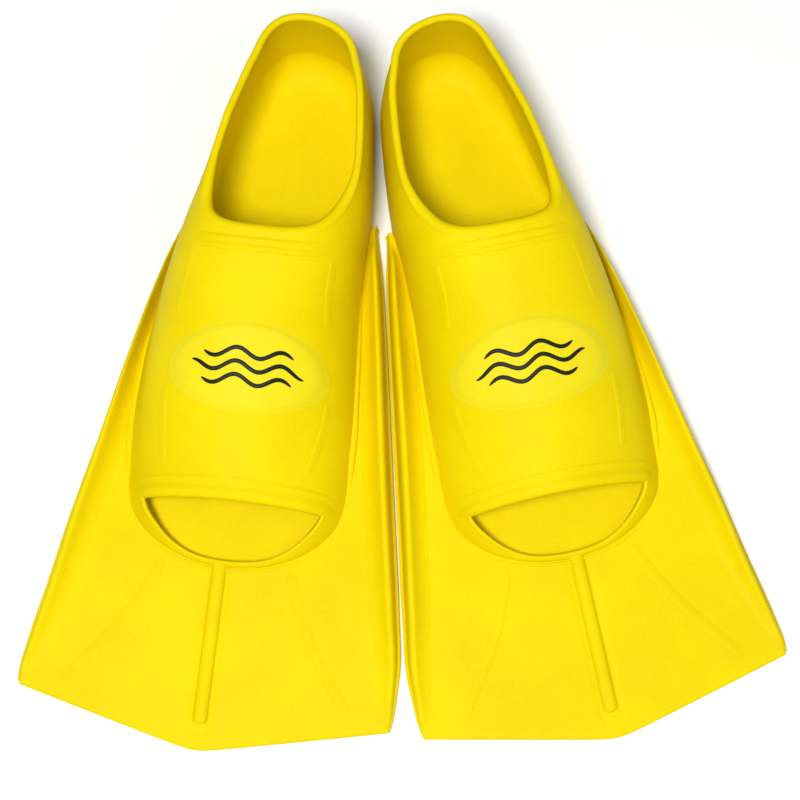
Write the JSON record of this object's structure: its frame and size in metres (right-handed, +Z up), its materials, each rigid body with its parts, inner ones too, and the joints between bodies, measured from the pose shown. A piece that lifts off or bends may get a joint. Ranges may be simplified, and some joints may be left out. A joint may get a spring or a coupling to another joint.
{
  "type": "swim fins",
  "caption": "Short-blade training fins for swimming, with closed heels, open toes, arched foot pockets, side rails and a flexing blade with a centre rib.",
  "frame": {"origin": "centre of the pair's bounding box, on the floor that the soles lie on", "axes": "+Z up from the floor, -Y from the heels toward the blade tips, +X toward the wearer's left fin"},
  "size_m": [0.3923, 0.3782, 0.0741],
  "materials": {
    "fin_rubber": "matte",
    "mark_print": "satin"
  },
  "bodies": {
    "right_foot_pocket": {"right_collar_bead": "fin_rubber", "right_instep_band": "fin_rubber", "right_instep_upper": "fin_rubber", "right_label_pad": "fin_rubber", "right_lateral_rail_root": "fin_rubber", "right_lateral_web": "fin_rubber", "right_medial_rail_root": "fin_rubber", "right_medial_web": "fin_rubber", "right_printed_mark": "mark_print", "right_sole": "fin_rubber", "right_toe_lip": "fin_rubber", "right_toe_rim": "fin_rubber"},
    "right_blade": {"right_blade": "fin_rubber", "right_centre_rib": "fin_rubber", "right_medial_rail": "fin_rubber", "right_lateral_rail": "fin_rubber"},
    "right_heel": {"right_heel_sole": "fin_rubber", "right_heel_cup": "fin_rubber", "right_heel_bead": "fin_rubber"},
    "left_foot_pocket": {"left_collar_bead": "fin_rubber", "left_instep_band": "fin_rubber", "left_instep_upper": "fin_rubber", "left_label_pad": "fin_rubber", "left_lateral_rail_root": "fin_rubber", "left_lateral_web": "fin_rubber", "left_medial_rail_root": "fin_rubber", "left_medial_web": "fin_rubber", "left_printed_mark": "mark_print", "left_sole": "fin_rubber", "left_toe_lip": "fin_rubber", "left_toe_rim": "fin_rubber"},
    "left_blade": {"left_blade": "fin_rubber", "left_centre_rib": "fin_rubber", "left_medial_rail": "fin_rubber", "left_lateral_rail": "fin_rubber"},
    "left_heel": {"left_heel_sole": "fin_rubber", "left_heel_cup": "fin_rubber", "left_heel_bead": "fin_rubber"}
  },
  "joints": [
    {"name": "right_blade_flex", "type": "hinge", "parent": "right_foot_pocket", "child": "right_blade", "pos_m": [-0.09472, -0.09956, 0.0055], "axis": [-0.9943, 0.1063, 0], "range_deg": [-22, 28], "stiffness_Nm_per_rad": 6},
    {"name": "right_heel_stretch", "type": "slide", "parent": "right_foot_pocket", "child": "right_heel", "axis": [0.1063, 0.9943, 0], "range_m": [0, 0.008], "stiffness_N_per_m": 1500},
    {"name": "left_blade_flex", "type": "hinge", "parent": "left_foot_pocket", "child": "left_blade", "pos_m": [0.08981, -0.09468, 0.0055], "axis": [-0.9796, -0.2011, 0], "range_deg": [-22, 28], "stiffness_Nm_per_rad": 6},
    {"name": "left_heel_stretch", "type": "slide", "parent": "left_foot_pocket", "child": "left_heel", "axis": [-0.2011, 0.9796, 0], "range_m": [0, 0.008], "stiffness_N_per_m": 1500},
    {"name": "pair_slide", "type": "slide", "parent": "right_foot_pocket", "child": "left_foot_pocket", "axis": [1, 0, 0], "range_m": [0, 0.25]}
  ]
}
